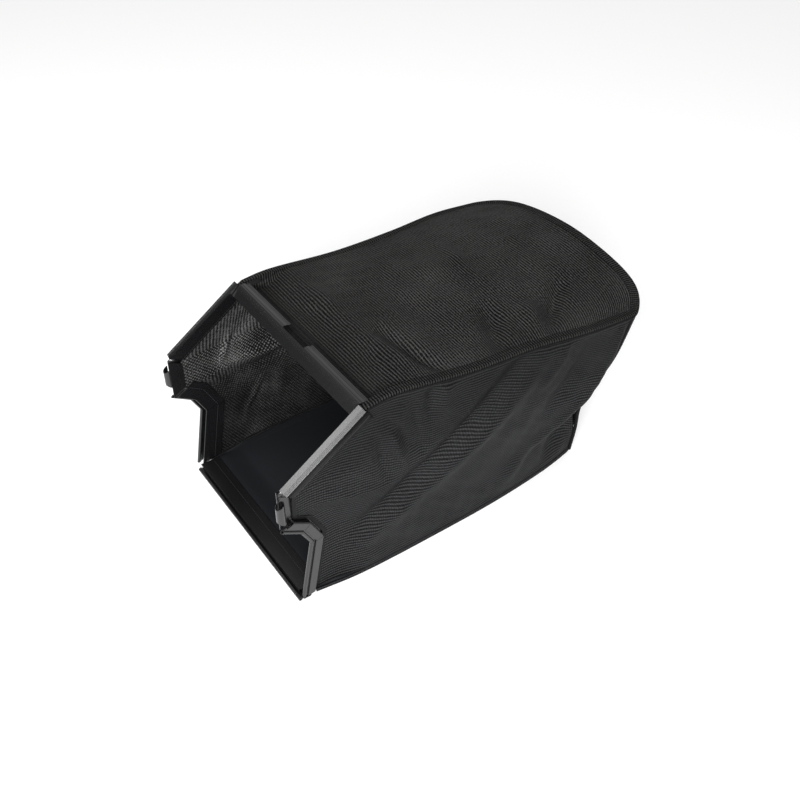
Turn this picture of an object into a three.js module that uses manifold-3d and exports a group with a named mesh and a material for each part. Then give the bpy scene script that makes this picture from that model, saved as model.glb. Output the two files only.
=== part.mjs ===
// Grass collection bag of a walk-behind mower: mesh and coated fabric panels joined by bound seams,
// with extruded plastic clips sewn round its open mouth that hold the wires of the bag frame.
// Millimetres. +X is the bag's right-hand side, the mouth faces -Y, +Z is up, the bag lies on Z = 0.
import * as THREE from 'three';
import { mergeVertices } from 'three/addons/utils/BufferGeometryUtils.js';
import Module from 'manifold-3d';

const wasm = await Module();
wasm.setup();

// Driving dimensions of the mouth, seen from the side: lengths of the clip runs from the foot up,
// and the lean of each from the vertical, towards the back where positive.
const mouthInnerWidth = 358;
const footY = -6.5;
const footRise = 7;
const postLength = 122.7;
const postLean = 10.8;
const kneeLength = 35.8;
const kneeLean = -26.6;
const ledgeLength = 38.4;
const ledgeLean = -57.8;
const fingerLength = 80;
const fingerLean = 0;
const slopeLength = 176.4;
const slopeLean = 55.9;

// Clip extrusions
const wall = 1.6;
const flangeWidth = 36;
const slopeFlange = 25;
const fingerFlange = 24;
const topFlange = 30;
const endGap = 0.6;
const touchGap = 0.3;

// Snap rail, on the ledges, knees, posts and the bottom: a channel open to the front,
// with a hollow bead on its outer lip
const railDepth = 14.5;
const railBack = 20;
const railStep = 7;
const railNeck = 10.5;
const beadRadius = 3.4;
const beadBore = 2;
const ridgeSetback = 3.2;
const footCutRise = 0.35;

// Hook rail, on the slopes and the top: a slanted face and an outer leg that turns back
const slopeHookOut = 16.5;
const slopeHookBack = 3;
const slopeLeg = 14;
const slopeStart = 6;
const slopeFlare = 6;
const fingerFlare = 3;
const footFlare = 4;
const topHookOut = 17;
const topHookBack = 13.5;
const topLeg = 18;
const topEndGap = 1.6;
const ribHeight = 0.7;
const ribPitch = 2.2;
const ribOutline = [[0.5, 0], [0.2, ribHeight / 2], [-0.2, ribHeight / 2], [-0.5, 0]];
// The top clip's face behind its crest: share of the leg, and height
const topFace = [[0.6, ribHeight], [0.3, ribHeight], [0.24, 0], [0.12, 0], [0.06, ribHeight]];
const notchLength = 66;
const notchShift = -9;

// Finger tubes
const tubeRadius = 7.25;
const tubeWall = 1.1;
const tubeOffset = 9.5;
const tubeSlot = 3;
const tubeSlotAt = 50;
const tubeLow = 23;
const tubeHigh = 60;

// Top clip and bottom clip
const topClipDrop = 16;
const topClipSetback = -13.5;
const topClipTilt = -6.7;
const bottomClipForward = 6.5;
const bottomClipRight = 190;
const bottomClipLeft = 173;

// Bag body: half widths and heights of its side seams, and its reach to the rear
const seamFrontRise = 356;
const seamTopRise = 362;
const seamTopRearRise = 318;
const topHalfWidth = 201;
const topRearHalfWidth = 219;
const topRearReach = 646;
const bottomHalfWidth = 200;
const bottomRearHalfWidth = 176;
const bottomRearReach = 583;
const rearBow = 50;
const rearCrown = 38;
const bottomBow = 14;
const bowPower = 7;
const crownPower = 1.75;
const frontCrown = 10;
const crownRun = 0.4;
const rearCrownPower = 4;
const rearPuff = 14;
const sideBelly = 8;
const sideRipple = 5;

// Waypoints of the side seams between mouth and rear: share of the run, then how much wider and how much
// higher the seam is there than the straight values
const topSeamWay = [[0.36, -2, -22], [0.6, 4, -28], [0.82, 18, -35]];
const topSeamLead = 40;
const bottomSeamWay = [[0.42, 0], [0.66, -2], [0.88, -12]];
const bottomSeamLead = 80;
// The same for the rear seam: share of its rise, then how much wider and how much further back
const rearSeamWay = [[0.17, -4.3, -6.7], [0.4, -7, -23], [0.72, 4, -8]];

// The sag fold of the side panel: how deep it is, where along the bag it starts, the share of the panel's
// height it has there and how much that rises to the rear, then the offsets and widths of its crest and dip
const foldDepth = 16;
const foldStart = 0.45;
const foldHeight = 0.15;
const foldRise = 0.2;
const crestOffset = 0.2;
const crestWidth = 0.13;
const dipOffset = -0.06;
const dipWidth = 0.09;
const foldRearFade = 0.45;
const rippleTurns = 1.4;
const rippleSlant = 1.6;

// Fabric
const panelThickness = 1.6;
const panelTuck = 23;
const weltRadius = 4;
const bottomWeltRadius = 2.8;
const tapeStart = 21.5;
const tapeWidth = 13.5;
const topTapeWidth = 28;
const tapeThickness = 1.2;
const panelSpacing = 28;
const topEase = 60;
const bottomEase = 40;
const topDent = 7;
const dentRun = 0.14;
const dentLength = 0.08;
const dentAcross = 0.55;
const dentSpread = 0.35;
const sideFreeRun = 50;
const seamGap = 0.3;
const seamRearTrim = 0.014;
const rearWeltTrim = 0.02;

const rad = THREE.MathUtils.degToRad;
const halfInner = mouthInnerWidth / 2;

// Materials
const clipPlastic = new THREE.MeshStandardMaterial({ color: 0x2b2c2e, roughness: 0.42, metalness: 0 });
const topMesh = new THREE.MeshStandardMaterial({ color: 0x201f1e, roughness: 0.85, metalness: 0 });
const sideMesh = new THREE.MeshStandardMaterial({ color: 0x242424, roughness: 0.8, metalness: 0 });
const coatedCloth = new THREE.MeshStandardMaterial({ color: 0x1b1f22, roughness: 0.6, metalness: 0 });
const bindingTape = new THREE.MeshStandardMaterial({ color: 0x181817, roughness: 0.9, metalness: 0 });

// A geometry as one closed body with merged vertices and its faces pointing out
function closedBody(geometry) {
  geometry.deleteAttribute('normal');
  geometry.deleteAttribute('uv');
  const merged = mergeVertices(geometry, 1e-4);
  const position = merged.attributes.position;
  const index = Array.from(merged.index.array);
  const a = new THREE.Vector3();
  const b = new THREE.Vector3();
  const c = new THREE.Vector3();
  let volume = 0;
  for (let i = 0; i < index.length; i += 3) {
    a.fromBufferAttribute(position, index[i]);
    b.fromBufferAttribute(position, index[i + 1]);
    c.fromBufferAttribute(position, index[i + 2]);
    volume += a.dot(b.cross(c));
  }
  if (volume < 0) {
    for (let i = 0; i < index.length; i += 3) {
      [index[i + 1], index[i + 2]] = [index[i + 2], index[i + 1]];
    }
  }
  merged.setIndex(index);
  merged.computeVertexNormals();
  return merged;
}

function moveVertices(geometry, place) {
  const position = geometry.attributes.position;
  const point = new THREE.Vector3();
  for (let i = 0; i < position.count; i += 1) {
    point.fromBufferAttribute(position, i);
    const moved = place(point);
    position.setXYZ(i, moved.x, moved.y, moved.z);
  }
  return geometry;
}

function toManifold(geometry) {
  return new wasm.Manifold(new wasm.Mesh({
    numProp: 3,
    vertProperties: new Float32Array(geometry.attributes.position.array),
    triVerts: new Uint32Array(geometry.index.array),
  }));
}

function fromManifold(solid) {
  const mesh = solid.getMesh();
  const geometry = new THREE.BufferGeometry();
  geometry.setAttribute('position', new THREE.BufferAttribute(new Float32Array(mesh.vertProperties), 3));
  geometry.setIndex(Array.from(mesh.triVerts));
  return closedBody(geometry);
}

// The front line of the mouth in the side view, from the foot of the post to the top bar
function turn(point, length, lean) {
  const angle = rad(lean);
  return new THREE.Vector2(point.x + length * Math.sin(angle), point.y + length * Math.cos(angle));
}

const foot = new THREE.Vector2(footY, footRise);
const postTop = turn(foot, postLength, postLean);
const kneeTop = turn(postTop, kneeLength, kneeLean);
const ledgeTip = turn(kneeTop, ledgeLength, ledgeLean);
const fingerTop = turn(ledgeTip, fingerLength, fingerLean);
const slopeTop = turn(fingerTop, slopeLength, slopeLean);
const mouthLine = [foot, postTop, kneeTop, ledgeTip, fingerTop, slopeTop];

// The direction into the bag, square to each run of the mouth line
function inwards(from, to) {
  const along = to.clone().sub(from).normalize();
  return new THREE.Vector2(along.y, -along.x);
}

// At each corner of the mouth line, the mitre: how far the corner moves for 1 mm of depth
const mitres = mouthLine.map((corner, i) => {
  if (i === 0) {
    const depth = inwards(mouthLine[0], mouthLine[1]);
    const along = mouthLine[1].clone().sub(mouthLine[0]).normalize();
    return depth.addScaledVector(along, footCutRise);
  }
  if (i === mouthLine.length - 1) {
    return inwards(mouthLine[i - 1], corner);
  }
  const before = inwards(mouthLine[i - 1], corner);
  const after = inwards(corner, mouthLine[i + 1]);
  return before.clone().add(after).divideScalar(1 + before.dot(after));
});

function depthLine(depth) {
  return mouthLine.map((corner, i) => corner.clone().addScaledVector(mitres[i], depth));
}

// A side clip: a section drawn in (depth into the bag, distance outwards), run between two corners
// of the mouth line and cut to the mitres there
function mitredClip(section, side, run, flare = 0, startTrim = endGap / 2, endTrim = endGap / 2) {
  const start = mouthLine[run];
  const end = mouthLine[run + 1];
  const along = end.clone().sub(start).normalize();
  const geometry = new THREE.ExtrudeGeometry(section, { depth: 1, bevelEnabled: false, curveSegments: 7 });
  moveVertices(geometry, (p) => {
    const atEnd = p.z > 0.5;
    const corner = (atEnd ? end : start).clone();
    corner.addScaledVector(mitres[atEnd ? run + 1 : run], p.x);
    corner.addScaledVector(along, atEnd ? -endTrim : startTrim);
    return new THREE.Vector3(side * (halfInner + flare + p.y), corner.x, corner.y);
  });
  return closedBody(geometry);
}

// Section of the snap rail
function snapRail() {
  const shape = new THREE.Shape();
  const neckHalf = wall / 2;
  const neckAngle = Math.asin(neckHalf / beadRadius);
  shape.moveTo(ridgeSetback, wall / 2);
  shape.lineTo(ridgeSetback + wall / 2, 0);
  shape.lineTo(ridgeSetback + flangeWidth, 0);
  shape.lineTo(ridgeSetback + flangeWidth, wall);
  shape.lineTo(railBack, wall);
  shape.lineTo(railBack, railDepth - wall);
  shape.lineTo(railBack - wall, railDepth);
  shape.lineTo(railStep, railDepth);
  shape.lineTo(railStep - wall / 2, railDepth - wall / 2);
  shape.lineTo(railStep - wall / 2, railNeck + neckHalf);
  shape.absarc(0, railNeck, beadRadius, neckAngle, 2 * Math.PI - neckAngle, false);
  shape.lineTo(railStep + wall / 2, railNeck - neckHalf);
  shape.lineTo(railStep + wall / 2, railDepth - wall);
  shape.lineTo(railBack - wall, railDepth - wall);
  shape.lineTo(railBack - wall, wall);
  shape.lineTo(ridgeSetback + wall / 2, wall);
  shape.closePath();
  const bore = new THREE.Path();
  bore.absarc(0, railNeck, beadBore, 0, 2 * Math.PI, true);
  shape.holes.push(bore);
  return shape;
}

// Section of the hook rail: the flange, the slanted face with three ribs near its outer corner,
// and the outer leg with a rounded lip
function hookRail(flange, out, back, leg, grooved) {
  const face = new THREE.Vector2(back, out);
  const along = face.clone().normalize();
  const inner = new THREE.Vector2(along.y, -along.x).multiplyScalar(wall);
  const faceLength = face.length();
  const onFace = (distance, height = 0) => along.clone().multiplyScalar(distance)
    .add(new THREE.Vector2(-along.y, along.x).multiplyScalar(height));
  const innerAt = (level) => inner.x + (along.x * (level - inner.y)) / along.y;
  const shape = new THREE.Shape();
  shape.moveTo(0, 0);
  shape.lineTo(flange, 0);
  shape.lineTo(flange, wall);
  shape.lineTo(innerAt(wall), wall);
  shape.lineTo(innerAt(out - wall), out - wall);
  shape.lineTo(back + leg, out - wall);
  shape.lineTo(back + leg, out - wall / 2);
  shape.lineTo(back + leg - wall / 2, out);
  if (grooved) {
    shape.lineTo(back + leg - 1.5 * wall, out);
    shape.lineTo(back + leg - 2 * wall, out - wall / 3);
    shape.lineTo(back + leg - 3 * wall, out - wall / 3);
    for (const [share, height] of topFace) {
      shape.lineTo(back + leg * share, out + height);
    }
  }
  shape.lineTo(back + wall / 4, out);
  const crest = onFace(faceLength - wall / 4, 0);
  shape.lineTo(crest.x, crest.y);
  for (let i = 1; i <= 3; i += 1) {
    const at = faceLength - i * ribPitch;
    for (const [beside, height] of ribOutline) {
      const point = onFace(at + beside, height);
      shape.lineTo(point.x, point.y);
    }
  }
  shape.closePath();
  return shape;
}

function flatFlange(width) {
  const shape = new THREE.Shape();
  shape.moveTo(0, 0);
  shape.lineTo(width, 0);
  shape.lineTo(width, wall);
  shape.lineTo(0, wall);
  shape.closePath();
  return shape;
}

// The finger clip: a flange along the whole run with a short slotted tube along its front edge,
// the tube's top cut in line with the slope and its foot in line with the ledge
function fingerClip(side) {
  const run = 3;
  const flange = toManifold(mitredClip(flatFlange(fingerFlange), side, run, fingerFlare));
  const slotEnd = rad(tubeSlotAt) + tubeSlot / tubeRadius / 2;
  const slotStart = rad(tubeSlotAt) - tubeSlot / tubeRadius / 2 + 2 * Math.PI;
  const ring = new THREE.Shape();
  ring.absarc(0, tubeOffset, tubeRadius, slotEnd, slotStart, false);
  ring.absarc(0, tubeOffset, tubeRadius - tubeWall, slotStart, slotEnd, true);
  ring.closePath();
  const web = new THREE.Shape();
  web.moveTo(0, wall / 2);
  web.lineTo(wall, wall / 2);
  web.lineTo(wall, tubeOffset - tubeRadius + tubeWall / 2);
  web.lineTo(0, tubeOffset - tubeRadius + tubeWall / 2);
  web.closePath();
  const risePerDepth = 1 / Math.tan(rad(slopeLean));
  const fallPerDepth = 1 / Math.tan(rad(ledgeLean));
  const up = new THREE.Vector2(Math.sin(rad(fingerLean)), Math.cos(rad(fingerLean)));
  const depth = new THREE.Vector2(up.y, -up.x);
  const [tube, bridge] = [ring, web].map((shape) => {
    const geometry = new THREE.ExtrudeGeometry(shape, { depth: 1, bevelEnabled: false, curveSegments: 20 });
    moveVertices(geometry, (p) => {
      const atEnd = p.z > 0.5;
      const height = atEnd ? tubeHigh + p.x * risePerDepth : tubeLow + p.x * fallPerDepth;
      const place = ledgeTip.clone().addScaledVector(up, height).addScaledVector(depth, p.x);
      return new THREE.Vector3(side * (halfInner + fingerFlare + p.y), place.x, place.y);
    });
    return toManifold(closedBody(geometry));
  });
  return fromManifold(flange.add(bridge).add(tube));
}

// A clip that runs across the mouth, its section placed by its ridge, depth and outward directions
function crossClip(section, ridge, depth, outward, leftEnd, rightEnd) {
  const geometry = new THREE.ExtrudeGeometry(section, { depth: 1, bevelEnabled: false, curveSegments: 7 });
  moveVertices(geometry, (p) => {
    const place = ridge.clone().addScaledVector(depth, p.x).addScaledVector(outward, p.y);
    return new THREE.Vector3(THREE.MathUtils.lerp(-leftEnd, rightEnd, p.z), place.x, place.y);
  });
  return closedBody(geometry);
}

// The top clip: its outer leg is notched away in the middle
const topDepth = new THREE.Vector2(Math.cos(rad(topClipTilt)), Math.sin(rad(topClipTilt)));
const topOut = new THREE.Vector2(-topDepth.y, topDepth.x);
const topRidge = slopeTop.clone().add(new THREE.Vector2(topClipSetback, -topClipDrop));

function topClip() {
  const halfLength = halfInner + slopeFlare - topEndGap;
  const section = hookRail(topFlange, topHookOut, topHookBack, topLeg, true);
  const body = toManifold(crossClip(section, topRidge, topDepth, topOut, halfLength, halfLength));
  const cutter = new THREE.BoxGeometry(notchLength, topLeg * 2, topHookOut);
  moveVertices(cutter, (p) => {
    const place = topRidge.clone()
      .addScaledVector(topDepth, topHookBack + wall + topLeg + p.y)
      .addScaledVector(topOut, topHookOut + p.z);
    return new THREE.Vector3(p.x + notchShift, place.x, place.y);
  });
  return fromManifold(body.subtract(toManifold(closedBody(cutter))));
}

// The bottom clip lies with its flange uppermost, inside the bag
const bottomDepth = new THREE.Vector2(1, 0);
const bottomOut = new THREE.Vector2(0, -1);
const bottomLine = new THREE.Vector2(footY - bottomClipForward, railDepth);

// Its lower part reaches out under the feet of the posts
function bottomClip() {
  let body = toManifold(crossClip(
    snapRail(), bottomLine, bottomDepth, bottomOut, bottomClipLeft, bottomClipRight));
  for (const side of [1, -1]) {
    const reach = bottomClipRight - halfInner + 2 * touchGap;
    const cutter = new THREE.BoxGeometry(reach, flangeWidth * 3, railDepth);
    const underFoot = footRise - touchGap + railDepth / 2;
    cutter.translate(side * (halfInner - touchGap + reach / 2), bottomLine.x, underFoot);
    body = body.subtract(toManifold(closedBody(cutter)));
  }
  return fromManifold(body);
}

// Seam lines of the bag's right-hand side, from the mouth to the rear, as smooth curves
const v3 = (x, y, z) => new THREE.Vector3(x, y, z);
const tuckLine = depthLine(panelTuck);
const mouthTop = tuckLine[tuckLine.length - 1];
const mouthFoot = tuckLine[0];
const seamFrontX = halfInner + wall + touchGap + panelThickness / 2;
const topSeam = new THREE.CatmullRomCurve3([
  v3(seamFrontX + slopeFlare + weltRadius, mouthTop.x, seamFrontRise),
  v3(seamFrontX + slopeFlare + weltRadius, mouthTop.x + topSeamLead, (seamFrontRise + seamTopRise) / 2),
  ...topSeamWay.map(([share, wider, higher]) => v3(
    topHalfWidth + wider, mouthTop.x + (topRearReach - mouthTop.x) * share, seamTopRise + higher)),
  v3(topRearHalfWidth, topRearReach, seamTopRearRise),
]);
const bottomLevel = bottomWeltRadius + touchGap;
const bottomSeam = new THREE.CatmullRomCurve3([
  v3(seamFrontX + footFlare + bottomWeltRadius, mouthFoot.x, bottomLevel + bottomWeltRadius / 2),
  v3(bottomHalfWidth - bottomWeltRadius, mouthFoot.x + bottomSeamLead, bottomLevel),
  ...bottomSeamWay.map(([share, wider]) => v3(
    bottomHalfWidth + wider, mouthFoot.x + (bottomRearReach - mouthFoot.x) * share, bottomLevel)),
  v3(bottomRearHalfWidth, bottomRearReach, bottomLevel),
]);
const rearSeam = new THREE.CatmullRomCurve3([
  v3(bottomRearHalfWidth, bottomRearReach, bottomLevel),
  ...rearSeamWay.map(([share, wider, further]) => v3(
    THREE.MathUtils.lerp(bottomRearHalfWidth, topRearHalfWidth, share) + wider,
    THREE.MathUtils.lerp(bottomRearReach, topRearReach, share) + further,
    seamTopRearRise * share)),
  v3(topRearHalfWidth, topRearReach, seamTopRearRise),
]);

const smooth = (t) => t * t * (3 - 2 * t);
const clamp01 = (t) => THREE.MathUtils.clamp(t, 0, 1);
const domed = (w, power) => 1 - Math.abs(w) ** power;

// Spots across the bag, from 0 to 1: even ones, and a narrow outermost cell on each side in which
// a panel leaves the clip level for the seam
const crossColumns = 14;
const edgeRow = 0.975;
const acrossSpots = [0];
for (let i = 0; i <= crossColumns; i += 1) {
  acrossSpots.push(0.5 + edgeRow * (i / crossColumns - 0.5));
}
acrossSpots.push(1);
const heldAcross = (w) => 1 - smooth(clamp01((Math.abs(w) - edgeRow) / (1 - edgeRow)));
const hump = (x, centre, width) => Math.exp(-(((x - centre) / width) ** 2));

// Stations along the bag: the first stretches lie flat under the hem tapes, the rest is even
const bagLength = topRearReach - mouthTop.x;
const flatLength = tapeStart + tapeWidth - panelTuck + panelThickness * 2;
const topFlat = tapeStart + topTapeWidth - panelTuck + panelThickness * 2;
const freeStations = Math.round((bagLength - topFlat) / panelSpacing);
const stations = [0, flatLength / bagLength];
for (let i = 0; i <= freeStations; i += 1) {
  stations.push(THREE.MathUtils.lerp(topFlat / bagLength, 1, i / freeStations));
}

// How far the cloth has left the clips at a station: 0 under the tapes, 1 past the easing stretch
function released(u, ease, flat) {
  return smooth(clamp01((u * bagLength - flat) / ease));
}

// Shares of the side panel's height at its rows: one at each corner of the mouth line, and more between
const frontBottom = bottomSeam.getPointAt(0).z + bottomWeltRadius + panelThickness / 2 + seamGap;
const frontTop = topSeam.getPointAt(0).z - weltRadius - 2 * seamGap;
const rowCorners = [frontBottom, ...tuckLine.slice(1).map((corner) => corner.y), frontTop];
const rowShares = [];
for (let i = 0; i < rowCorners.length - 1; i += 1) {
  const rise = rowCorners[i + 1] - rowCorners[i];
  const pieces = Math.max(1, Math.round(rise / panelSpacing));
  for (let j = 0; j < pieces; j += 1) {
    rowShares.push((rowCorners[i] + (rise * j) / pieces - frontBottom) / (frontTop - frontBottom));
  }
}
rowShares.push(1);

// Where a line of the side view, read from its foot up, stands at a height
function lineAt(line, height) {
  let i = 1;
  while (i < line.length - 1 && line[i].y < height) {
    i += 1;
  }
  const low = line[i - 1];
  const high = line[i];
  return low.x + (high.x - low.x) * clamp01((height - low.y) / (high.y - low.y));
}

// How much further out the flanges stand at each corner of the mouth line, and so the cloth on them
const cornerFlares = [footFlare, 0, 0, fingerFlare, slopeFlare, slopeFlare];
const flareLine = tuckLine.map((corner, i) => new THREE.Vector2(cornerFlares[i], corner.y));

const tapeBack = depthLine(tapeStart + tapeWidth);

// The point of the rear seam at a height, found by halving
function rearSeamAt(height) {
  let low = 0;
  let high = 1;
  for (let i = 0; i < 24; i += 1) {
    const middle = (low + high) / 2;
    if (rearSeam.getPointAt(middle).z < height) {
      low = middle;
    } else {
      high = middle;
    }
  }
  return rearSeam.getPointAt(low);
}

// How far the side panel swells, with the sag fold that runs down and forwards from the rear
function sideSwell(u, share) {
  const between = Math.sin(Math.PI * clamp01(share));
  const belly = sideBelly * between * Math.sin(Math.PI * u);
  const height = foldHeight + foldRise * u;
  const strength = smooth(clamp01((u - foldStart) / (1 - foldStart))) * (1 - foldRearFade * smooth(u) ** 8);
  const crest = hump(share, height + crestOffset, crestWidth);
  const dip = hump(share, height + dipOffset, dipWidth);
  const fold = foldDepth * strength * (crest * (1 - crestOffset) - dip) * Math.sqrt(between);
  const ripple = sideRipple * Math.sin((share + u * rippleSlant) * rippleTurns * 2 * Math.PI);
  return belly + fold + ripple * Math.sin(Math.PI * u) * between * (1 - u / 2);
}

function sideSurface(u, share) {
  const mix = THREE.MathUtils.lerp;
  const top = topSeam.getPointAt(u);
  const bottom = bottomSeam.getPointAt(u);
  const topZ = top.z - weltRadius - 2 * seamGap;
  const bottomZ = bottom.z + bottomWeltRadius + panelThickness / 2 + seamGap;
  const z = mix(bottomZ, topZ, share);
  const rear = rearSeamAt(mix(bottom.z, top.z, share));
  const frontHeight = mix(frontBottom, frontTop, share);
  const frontShift = lineAt(tuckLine, frontHeight) - mix(mouthFoot.x, mouthTop.x, share);
  const rearInset = weltRadius + 3 * seamGap + panelThickness / 2;
  const rearShift = rear.y - rearInset - mix(bottomRearReach, topRearReach, share);
  const y = mix(bottom.y, top.y, share) + frontShift * (1 - u) + rearShift * u;
  const rearBulge = (rear.x - mix(bottomRearHalfWidth, topRearHalfWidth, share)) * smooth(u);
  const x = mix(bottom.x, top.x, share) + rearBulge + sideSwell(u, share);
  const free = smooth(clamp01((y - lineAt(tapeBack, frontHeight) - panelSpacing) / sideFreeRun));
  const held = seamFrontX + lineAt(flareLine, frontHeight);
  return v3(held + (x - held) * free, y, z);
}

// A cloth panel: a box of many cells whose vertices are moved on to both faces of a surface
function clothPanel(surface, uStations, vStations) {
  const uCount = uStations.length - 1;
  const vCount = vStations.length - 1;
  const geometry = new THREE.BoxGeometry(uCount, vCount, 1, uCount, vCount, 1);
  const step = 0.002;
  moveVertices(geometry, (p) => {
    const u = uStations[Math.round(p.x + uCount / 2)];
    const v = vStations[Math.round(p.y + vCount / 2)];
    const at = surface(u, v);
    const alongU = surface(Math.min(1, u + step), v).sub(surface(Math.max(0, u - step), v));
    const alongV = surface(u, Math.min(1, v + step)).sub(surface(u, Math.max(0, v - step)));
    const normal = alongU.cross(alongV).normalize();
    return at.addScaledVector(normal, Math.sign(p.z) * panelThickness / 2);
  });
  return closedBody(geometry);
}

function mirrored(geometry) {
  const copy = geometry.clone();
  copy.scale(-1, 1, 1);
  return closedBody(copy);
}

function evenly(count) {
  return Array.from({ length: count + 1 }, (_, i) => i / count);
}

// Top, back and bottom panels run across the bag from seam to seam; v goes from left to right
const across = (v) => 2 * v - 1;

const topClothHalf = halfInner + slopeFlare - panelThickness;
const bottomClothHalf = halfInner - panelThickness;

function topSurface(u, v) {
  const seam = topSeam.getPointAt(u * (1 - seamRearTrim));
  const w = across(v);
  const crown = frontCrown * smooth(clamp01(u / crownRun)) + (rearCrown - frontCrown) * u ** rearCrownPower;
  const dents = topDent * hump(u, dentRun, dentLength) * hump(Math.abs(w), dentAcross, dentSpread);
  const steep = 1 - released(u, topEase, topFlat);
  const x = w * (seam.x - weltRadius - seamGap - panelThickness * steep);
  const y = seam.y + rearBow * domed(w, bowPower) * u ** 3;
  const z = seam.z + crown * domed(w, crownPower) - dents;
  const clipLevel = topRidge.clone().addScaledVector(topDepth, panelTuck)
    .addScaledVector(topOut, wall + touchGap + panelThickness / 2);
  const join = steep * heldAcross(w);
  const run = u * bagLength;
  const flatY = clipLevel.x + run * topDepth.x;
  const flatZ = clipLevel.y + run * topDepth.y;
  return v3(x + (w * topClothHalf - x) * join, y + (flatY - y) * join, z + (flatZ - z) * join);
}

function backSurface(u, v) {
  const w = across(u);
  const bowed = domed(w, bowPower);
  const crowned = domed(w, crownPower);
  const seam = rearSeam.getPointAt(v);
  const bow = bottomBow + (rearBow - bottomBow) * v;
  const crown = rearCrown * v ** 3;
  const puff = rearPuff * Math.sin(Math.PI * v) * crowned;
  const inset = weltRadius + seamGap;
  const rise = bottomWeltRadius + seamGap;
  const z = seam.z + crown * crowned;
  const lift = z + rise * (1 - v) - inset * v;
  return v3(w * (seam.x - inset - panelThickness / 2), seam.y + bow * bowed + puff, lift);
}

function bottomSurface(u, v) {
  const seam = bottomSeam.getPointAt(u * (1 - seamRearTrim));
  const w = across(v);
  const join = (1 - released(u, bottomEase, flatLength)) * heldAcross(w);
  const clipLevel = bottomLine.clone().addScaledVector(bottomDepth, panelTuck)
    .addScaledVector(bottomOut, wall + touchGap + panelThickness / 2);
  const x = w * (seam.x - bottomWeltRadius - seamGap);
  const y = seam.y + bottomBow * domed(w, bowPower) * u ** 3;
  const level = panelThickness / 2 + touchGap;
  const z = seam.z + (level - seam.z) * (1 - Math.abs(w) ** bowPower);
  const flatY = clipLevel.x + u * bagLength;
  return v3(x + (w * bottomClothHalf - x) * join, y + (flatY - y) * join, z + (clipLevel.y - z) * join);
}

// A bound seam: a rounded welt that follows a curve
function welt(curve, radius, parameters) {
  const sides = 8;
  const steps = parameters.length - 1;
  const geometry = new THREE.CylinderGeometry(radius, radius, 1, sides, steps);
  moveVertices(geometry, (p) => {
    const t = parameters[Math.round((p.y + 0.5) * steps)];
    const centre = curve.getPointAt(t);
    const tangent = curve.getTangentAt(t);
    const right = new THREE.Vector3().crossVectors(tangent, curve.upright).normalize();
    const up = new THREE.Vector3().crossVectors(right, tangent).normalize();
    return centre.addScaledVector(right, p.x).addScaledVector(up, p.z);
  });
  return closedBody(geometry);
}

const upwards = v3(0, 0, 1);
const rearwards = v3(0, 1, 0);

// A seam curve on one side of the bag, with the direction that its welt keeps upright
class SeamLine extends THREE.Curve {
  constructor(curve, upright, side = 1) {
    super();
    this.curve = curve;
    this.upright = upright;
    this.side = side;
  }

  getPoint(t, target = new THREE.Vector3()) {
    const point = this.curve.getPoint(t);
    return target.set(this.side * point.x, point.y, point.z);
  }
}

class RearTopLine extends THREE.Curve {
  getPoint(t, target = new THREE.Vector3()) {
    const w = 2 * t - 1;
    return target.set(
      w * topRearHalfWidth,
      topRearReach + rearBow * domed(w, bowPower),
      seamTopRearRise + rearCrown * domed(w, crownPower),
    );
  }
}

class RearBottomLine extends THREE.Curve {
  getPoint(t, target = new THREE.Vector3()) {
    const w = 2 * t - 1;
    const y = bottomRearReach + bottomBow * domed(w, bowPower);
    return target.set(w * bottomRearHalfWidth, y, bottomLevel);
  }
}

// Hem tapes cover the cut edges of the panels where they lie on the clip flanges
function sideTape() {
  const front = depthLine(tapeStart);
  const back = depthLine(tapeStart + tapeWidth).reverse();
  const shape = new THREE.Shape([...front, ...back]);
  const geometry = new THREE.ExtrudeGeometry(shape, { depth: tapeThickness, bevelEnabled: false });
  const level = halfInner + wall + panelThickness + 3 * touchGap;
  moveVertices(geometry, (p) => v3(level + lineAt(flareLine, p.y) + p.z, p.x, p.y));
  return closedBody(geometry);
}

function crossTape(line, depth, outward, width, clothHalf) {
  const halfLength = clothHalf * edgeRow - panelThickness;
  const geometry = new THREE.BoxGeometry(2 * halfLength, width, tapeThickness);
  const level = wall + panelThickness + 2 * touchGap + tapeThickness / 2;
  moveVertices(geometry, (p) => {
    const place = line.clone().addScaledVector(depth, tapeStart + width / 2 + p.y)
      .addScaledVector(outward, level + p.z);
    return v3(p.x, place.x, place.y);
  });
  return closedBody(geometry);
}

const bag = new THREE.Group();

function addPiece(name, geometry, material) {
  const mesh = new THREE.Mesh(geometry, material);
  mesh.name = name;
  bag.add(mesh);
}

for (const [label, side] of [['right', 1], ['left', -1]]) {
  addPiece(`${label}_post_clip`, mitredClip(snapRail(), side, 0, 0, 0), clipPlastic);
  addPiece(`${label}_knee_clip`, mitredClip(snapRail(), side, 1), clipPlastic);
  addPiece(`${label}_ledge_clip`, mitredClip(snapRail(), side, 2), clipPlastic);
  addPiece(`${label}_finger_clip`, fingerClip(side), clipPlastic);
  const slopeRail = hookRail(slopeFlange, slopeHookOut, slopeHookBack, slopeLeg, false);
  addPiece(`${label}_slope_clip`, mitredClip(slopeRail, side, 4, slopeFlare, slopeStart), clipPlastic);
}
addPiece('top_clip', topClip(), clipPlastic);
addPiece('bottom_clip', bottomClip(), clipPlastic);

const heights = evenly(Math.round(seamTopRearRise / panelSpacing));
const rightPanel = clothPanel(sideSurface, stations, rowShares);
addPiece('right_side_panel', rightPanel, sideMesh);
addPiece('left_side_panel', mirrored(rightPanel), sideMesh);
addPiece('top_panel', clothPanel(topSurface, stations, acrossSpots), topMesh);
addPiece('back_panel', clothPanel(backSurface, acrossSpots, heights), topMesh);
addPiece('bottom_panel', clothPanel(bottomSurface, stations, acrossSpots), coatedCloth);

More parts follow.
